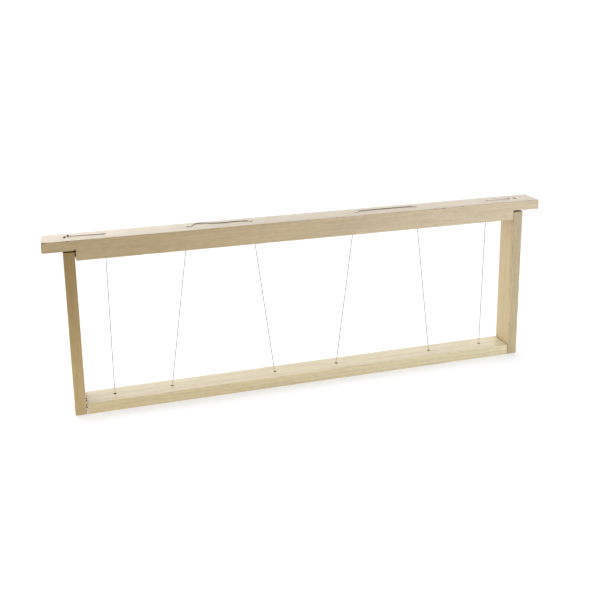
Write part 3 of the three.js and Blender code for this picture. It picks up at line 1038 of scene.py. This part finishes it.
def rounded(points, radius, steps=6):
    """The route with its sharp corners turned into arcs of about that radius."""
    route = [points[0]]
    for before, corner, after in zip(points, points[1:], points[2:]):
        arriving, leaving = corner - before, after - corner
        turn = arriving.angle(leaving)
        if turn < math.radians(20):
            route.append(corner)
            continue
        reach = min(radius * math.tan(turn / 2), arriving.length * 0.45, leaving.length * 0.45)
        start = corner - arriving.normalized() * reach
        end = corner + leaving.normalized() * reach
        for step in range(steps + 1):
            t = step / steps
            route.append(start * (1 - t) ** 2 + corner * 2 * t * (1 - t) + end * t ** 2)
    route.append(points[-1])
    return route


def wire_level_top():
    return FRAME_HEIGHT + (WIRE_DIAMETER / 2 + 0.02) * MM


def wire_level_below():
    return (GROOVE_DEPTH - WIRE_DIAMETER / 2 - 0.02) * MM


def hook(node, sign):
    """The wire's end bent round a tack, from its free end to where it leaves for the strands."""
    low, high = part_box(node)
    middle = (low + high) / 2
    radius = (TACK_SHANK_DIAMETER / 2 + WIRE_DIAMETER / 2 + 0.02) * MM
    steps = 22
    points = []
    for step in range(steps + 1):
        angle = -math.pi / 2 + sign * math.radians(270) * (1 - step / steps)
        x = middle.x + radius * math.cos(angle)
        y = middle.y + radius * math.sin(angle)
        points.append(Vector((x, y, wire_level_top())))
    return points


def wander(first, second, offsets):
    """The slack wire on the top face between two holes."""
    start, end = at_height(first, wire_level_top()), at_height(second, wire_level_top())
    points = [start]
    for share, back in offsets:
        point = start.lerp(end, share)
        point.y += back * MM
        points.append(point)
    points.append(end)
    return smooth_through(points, 6)


def wire_darkness(place):
    """How dark the wire is at a place. It's bright over a hole's mouth, brighter low on a strand,
    and along most of its runs to the tacks, where the bright colour is a painted glint."""
    if place.z < FRAME_HEIGHT - 1.2 * MM:
        above = place.z - bottom_high.z
        return min(1.0, max(0.2, above / (8 * MM)))
    mouths = [at_height(index, FRAME_HEIGHT).x for index in range(len(STRAND_TOP_SHARES))]
    if place.x > mouths[-1]:
        return 0.0
    if place.x < mouths[0]:
        return 0.5 * min(1.0, max(0.0, (place.x - mouths[0] + 15 * MM) / (12 * MM)))
    nearest = min(abs(place.x - mouth) for mouth in mouths)
    return min(1.0, max(0.0, (nearest - 2 * MM) / (2 * MM)))


def down(index):
    """A strand from its turn on the top face to its turn under the bottom bar."""
    heights = [wire_level_top(), FRAME_HEIGHT - 1.3 * MM, bottom_high.z + 9 * MM, bottom_high.z,
               wire_level_below()]
    return [at_height(index, height) for height in heights]


def up(index):
    return list(reversed(down(index)))


def make_wire(material):
    route = hook("wire_tack_left", -1)
    route += down(0) + up(1)[:-1]
    route += wander(1, 2, LONG_WANDER)
    route += down(2)[1:] + up(3)[:-1]
    route += wander(3, 4, SHORT_WANDER)
    route += down(4)[1:] + up(5)
    route += list(reversed(hook("wire_tack_right", 1)))
    route = rounded(route, 0.9 * MM)
    section = circle(WIRE_DIAMETER / 2 * MM, 12)
    rings = sweep(route, lambda index: section, Vector((0, 0, 1)))
    points, faces = stack_rings(rings)
    wire = make_object("drawn_wire", mesh_from("drawn_wire", points, faces), [material])
    # How dark the wire is at each point; its bright runs to the tacks are a painted glint.
    film = wire.data.attributes.new("wire_darkness", "FLOAT", "POINT")
    for ring, place in enumerate(route):
        for index in range(len(section)):
            film.data[ring * len(section) + index].value = wire_darkness(place)
    dress(wire, "frame_wire", sharp=60)


# ---- Tacks and staples ----

# A tack's head from its underside up: height over the seat in millimetres and share of its radius.
TACK_HEAD_PROFILE = [
    (0, 0.86), (0.07, 0.97), (0.18, 1), (0.3, 0.95), (0.42, 0.8), (0.5, 0.55), (0.53, 0.25),
]
# How rounded a staple's section is, as a share of its half-width, and how narrow its points are.
STAPLE_ROUND = 0.28
STAPLE_POINT_SHARE = 0.18


def make_tack(side, material):
    """A small tack: a dented round head over the wire, and a shank with a point."""
    node = f"wire_tack_{side}"
    low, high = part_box(node)
    middle = (low + high) / 2
    seat = FRAME_HEIGHT + (WIRE_DIAMETER + 0.04) * MM
    shank = TACK_SHANK_DIAMETER / 2 * MM
    head = TACK_HEAD_DIAMETER / 2 * MM
    profile = [
        (low.z, 0.1 * shank), (low.z + 1.5 * MM, shank), (seat - 0.2 * MM, shank),
        (seat - 0.03 * MM, shank * 1.15),
    ]
    profile += [(seat + rise * MM, head * share) for rise, share in TACK_HEAD_PROFILE]
    rings = []
    for height, radius in profile:
        ring = []
        for x, y in circle(radius, 32):
            dent = noise.noise(Vector((x, y, 0)) * 1500 + Vector((middle.x * 90, 0, 0)))
            drop = 0.07 * MM * dent if height > seat + 0.1 * MM else 0
            reach = 1 + (0.05 * dent if height > seat - 0.01 * MM else 0)
            ring.append(Vector((middle.x + x * reach, middle.y + y * reach, height - abs(drop))))
        rings.append(ring)
    points, faces = stack_rings(rings)
    name = f"blued_tack_{side}"
    tack = make_object(name, mesh_from(name, points, faces), [material])
    dress(tack, node, sharp=50)


def staple_route(low, high, inward):
    """The middle line of a staple whose crown lies along Y, from one point to the other."""
    inward = Vector(inward)
    half = (high.y - low.y) / 2 - STAPLE_WIRE / 2 * MM
    centre = (low + high) / 2
    length = abs((high - low).dot(inward))
    crown = centre - inward * (length / 2 - (STAPLE_WIRE / 2 + STAPLE_SINK) * MM)
    tip = centre + inward * (length / 2)
    side = Vector((0, half, 0))
    corners = [tip - side, crown - side, crown + side, tip + side]
    return rounded(corners, 1.1 * MM, steps=8)


def make_staple(node, inward, material):
    low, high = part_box(node)
    route = staple_route(low, high, inward)
    point_length = STAPLE_POINT * MM
    legs = [route[0] + (route[1] - route[0]).normalized() * point_length,
            route[-1] + (route[-2] - route[-1]).normalized() * point_length]
    route = [route[0], legs[0]] + route[1:-1] + [legs[1], route[-1]]
    half_wide = STAPLE_WIRE / 2 * MM
    half_deep = STAPLE_DEPTH / 2 * MM

    def section(index):
        narrow = STAPLE_POINT_SHARE if index in (0, len(route) - 1) else 1.0
        points = []
        for x_sign, y_sign in ((1, 1), (-1, 1), (-1, -1), (1, -1)):
            for turn in (0, 1, 2):
                angle = math.pi / 4 * turn
                start = math.atan2(y_sign, x_sign) - math.pi / 4
                x = x_sign * (1 - STAPLE_ROUND) + STAPLE_ROUND * math.cos(start + angle)
                y = y_sign * (1 - STAPLE_ROUND) + STAPLE_ROUND * math.sin(start + angle)
                points.append((x * half_wide * narrow, y * half_deep))
        return points

    rings = sweep(route, section, Vector(inward).cross(Vector((0, 1, 0))))
    points, faces = stack_rings(rings)
    name = f"driven_{node}"
    staple = make_object(name, mesh_from(name, points, faces), [material])
    dress(staple, node, sharp=50)


# ---- The whole frame ----

def build():
    drilled = cut_wood_material("drilled_wood")
    burnt = cut_wood_material("burnt_wood")
    # Near-black torn wood, painted shade for the slots, tack holes and nicks.
    torn = cut_wood_material("torn_wood_painted_shade")
    # Staples in near-black steel, painted shade over their crowns.
    staple = steel_material("staple_steel_painted_shade")
    # The left tack is given darker steel than the right one.
    tacks = {"left": steel_material("tack_steel_dark"), "right": steel_material("tack_steel_light")}
    make_top_bar([wood_material("top_bar"), drilled, torn])
    make_bottom_bar([wood_material("bottom_bar"), burnt])
    make_side_bar("left", -1, [wood_material("side_bar_left"), torn])
    make_side_bar("right", 1, [wood_material("side_bar_right"), torn])
    make_wire(steel_material("wire_steel_drawn", BRIGHT_WIRE_AND_GLINT))
    for side, sign in (("left", -1), ("right", 1)):
        make_tack(side, tacks[side])
        make_staple(f"lug_staple_{side}", (0, 0, -1), staple)
        make_staple(f"shoulder_staple_{side}", (-sign, 0, 0), staple)
        for number in (1, 2):
            make_staple(f"bottom_staple_{side}_{number}", (-sign, 0, 0), staple)


make_camera()
make_lights()
make_floor()
build()
